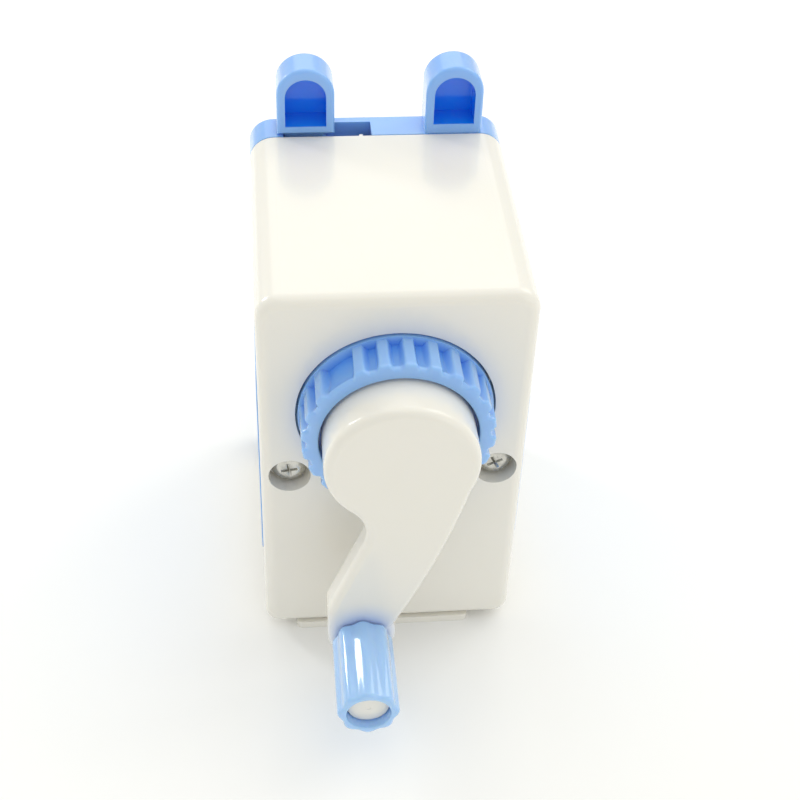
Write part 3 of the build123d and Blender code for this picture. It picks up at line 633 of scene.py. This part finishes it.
def makeScrew(look, side):
    s = look
    seat = s["seat"]
    centre = Vector((side * s["x"] * mm, 0, s["z"] * mm))
    profile = [(0, seat - s["length"]), (s["shankR"] * 0.5, seat - s["length"])]
    # a rolled thread with a rounded crest
    pitch = (s["length"] - s["plainEnds"]) / s["threads"]
    rootR = s["shankR"] - s["threadDepth"]
    for i in range(s["threads"]):
        low = seat - s["length"] + s["tip"] + i * pitch
        profile += [(rootR, low), (s["shankR"], low + pitch * 0.4), (s["shankR"], low + pitch * 0.5)]
        profile.append((rootR, low + pitch * 0.9))
    profile += [(s["shankR"], seat - 1.0), (s["shankR"], seat)]
    profile += [(s["headR"] - 0.15, seat), (s["headR"], seat + 0.15)]
    rise = s["headH"] - s["rim"]
    for i in range(9):
        turn = math.radians(90 * i / 8)
        across = s["headR"] * (0.42 + 0.58 * math.cos(turn))
        profile.append((across, seat + s["rim"] + rise * math.sin(turn)))
    profile.append((0, seat + s["headH"]))
    piece = turned("screw", profile, centre, 72)
    tool = crossTool(s, centre, (seat + s["headH"]) * mm, s["turns"][side])
    cut(piece, tool)
    tidyMesh(piece)
    soften(piece, 0.07, 2, 45)
    smooth(piece, 35)
    return piece


print("screws")
screwPair = join("rearScrews", [makeScrew(bigScrew, side) for side in (-1, 1)])
put(screwPair, "housing", "screw_steel", "housing_screws")


rodSpring = {
    "x": 21.3, "z": 87.0, "front": -13.5, "rear": 25.4, "radius": 2.85, "wire": 0.4, "turns": 11,
    "deadTurns": 1.25, "deadPitch": 2.1, "kept": 0.28,
}
gripSpring = {
    "y": -28.35, "z": 89.6, "left": -11.5, "right": 4.9, "radius": 1.9, "wire": 0.3, "turns": 8,
    "deadTurns": 1.25, "deadPitch": 2.1, "kept": 0.57,
}


def coil(name, look, start, along, length):
    # a compression spring with closed ends, its line worked out turn by turn
    wire = look["wire"]
    dead = look["deadTurns"]
    live = look["turns"] - 2 * dead
    deadPitch = look["deadPitch"] * wire
    livePitch = (length - 2 * wire - 2 * dead * deadPitch) / live
    across = Vector((0, 0, 1))
    other = along.cross(across)
    curve = bpy.data.curves.new(name, "CURVE")
    curve.dimensions = "3D"
    curve.bevel_depth = wire * mm
    curve.bevel_resolution = 3
    curve.use_fill_caps = True
    spline = curve.splines.new("NURBS")
    perTurn = 16
    count = int(look["turns"] * perTurn) + 1
    spline.points.add(count - 1)
    for i in range(count):
        turn = i / perTurn
        rise = min(turn, dead) * deadPitch + max(0, min(turn - dead, live)) * livePitch
        rise += max(0, turn - dead - live) * deadPitch
        angle = 2 * math.pi * turn
        offset = look["radius"] * (across * math.cos(angle) + other * math.sin(angle))
        spline.points[i].co = (*((start + offset + along * (rise + wire)) * mm), 1)
    spline.order_u = 3
    spline.use_endpoint_u = True
    piece = bpy.data.objects.new(name, curve)
    bpy.context.scene.collection.objects.link(piece)
    deselect()
    bpy.context.view_layer.objects.active = piece
    piece.select_set(True)
    bpy.ops.object.convert(target="MESH")
    piece = bpy.context.object
    tidyMesh(piece)
    smooth(piece, 60)
    return piece


def makeRodSpring(side, word):
    # the closed end sits by the bulkhead and the clip on the rod presses on the other one; the coil is built
    # at one length
    r = rodSpring
    start = Vector((side * r["x"], r["front"], r["z"]))
    spring = coil(f"rodSpring_{word}", r, start, Vector((0, 1, 0)), r["rear"] - r["front"])
    put(spring, "housing", "spring_steel", f"rod_spring_{word}")
    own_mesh(spring)


def makeGripSpring():
    g = gripSpring
    start = Vector((g["left"], g["y"], g["z"]))
    spring = coil("gripSpring", g, start, Vector((1, 0, 0)), g["right"] - g["left"])
    put(spring, "feed_plate", "spring_steel", "grip_spring")
    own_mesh(spring)


print("springs")
makeRodSpring(1, "left")
makeRodSpring(-1, "right")
makeGripSpring()


floorLook = {
    "size": 3.0, "colour": (0.97, 0.968, 0.955), "grain": 700.0, "rough": 0.55, "grainRough": 0.1,
    "grainDepth": 0.01, "shine": 0.2,
}
lights = {
    # name: (place in metres, width, height, watts, colour)
    "overhead": ((-0.15, -0.1, 1.3), 1.4, 1.4, 3.3, (1.0, 0.998, 0.965)),
    "back": ((0.0, -1.0, 0.95), 1.1, 0.8, 1.9, (1.0, 0.998, 0.97)),
    "key": ((-0.75, -0.35, 0.75), 0.6, 0.6, 1.9, (1.0, 0.995, 0.965)),
    "side": ((-0.7, 0.6, 0.35), 0.4, 0.4, 0.25, (1.0, 0.99, 0.96)),
    "glint": ((0.40, -0.31, 0.27), 0.1, 0.17, 0.6, (1.0, 1.0, 1.0)),
}
worldLook = {"colour": (1.0, 1.0, 0.965), "strength": 0.76}
view = {
    "place": (0.02605, 0.26469, 0.27799), "azimuth": 6.624, "elevation": 41.663, "roll": 2.409,
    "lens": 67.93, "sensor": 36.0,
}


def makeFloor():
    deselect()
    bpy.ops.mesh.primitive_grid_add(x_subdivisions=8, y_subdivisions=8, size=floorLook["size"])
    floor = bpy.context.object
    floor.name = "floor"
    paint = Paint("FloorPaper")
    grain = paint.noise(floorLook["grain"])
    dress(floor, paint.finish({
        "Base Color": rgba(floorLook["colour"]),
        "Roughness": floorLook["rough"] + floorLook["grainRough"] * grain,
        "Normal": paint.bump(grain, floorLook["grainDepth"]),
        "Specular IOR Level": floorLook["shine"],
    }))


def makeLights():
    target = Vector((0, 0, 0.05))
    for name, (place, width, height, watts, colour) in lights.items():
        lamp = bpy.data.lights.new(name, "AREA")
        lamp.shape = "RECTANGLE"
        lamp.size = width
        lamp.size_y = height
        lamp.energy = watts
        lamp.color = colour
        holder = bpy.data.objects.new(name, lamp)
        holder.location = place
        holder.rotation_euler = (Vector(place) - target).to_track_quat("Z", "Y").to_euler()
        bpy.context.scene.collection.objects.link(holder)


def makeWorld():
    world = bpy.data.worlds.new("studio")
    world.use_nodes = True
    background = world.node_tree.nodes["Background"]
    background.inputs["Color"].default_value = rgba(worldLook["colour"])
    background.inputs["Strength"].default_value = worldLook["strength"]
    bpy.context.scene.world = world


def makeCamera():
    azimuth, elevation, roll = [math.radians(view[key]) for key in ("azimuth", "elevation", "roll")]
    back = Vector((math.sin(azimuth) * math.cos(elevation), math.cos(azimuth) * math.cos(elevation),
                   math.sin(elevation)))
    right = (-back).cross(Vector((0, 0, 1))).normalized()
    up = right.cross(-back)
    rightRolled = right * math.cos(roll) + up * math.sin(roll)
    upRolled = up * math.cos(roll) - right * math.sin(roll)
    lens = bpy.data.cameras.new("camera")
    lens.lens = view["lens"]
    lens.sensor_width = view["sensor"]
    lens.clip_start = 0.01
    camera = bpy.data.objects.new("camera", lens)
    turn = Matrix((rightRolled, upRolled, back)).transposed()
    camera.matrix_world = Matrix.Translation(view["place"]) @ turn.to_4x4()
    bpy.context.scene.collection.objects.link(camera)
    bpy.context.scene.camera = camera


print("floor, light and camera")
makeFloor()
makeLights()
makeWorld()
makeCamera()
bpy.context.scene.view_settings.view_transform = "Standard"
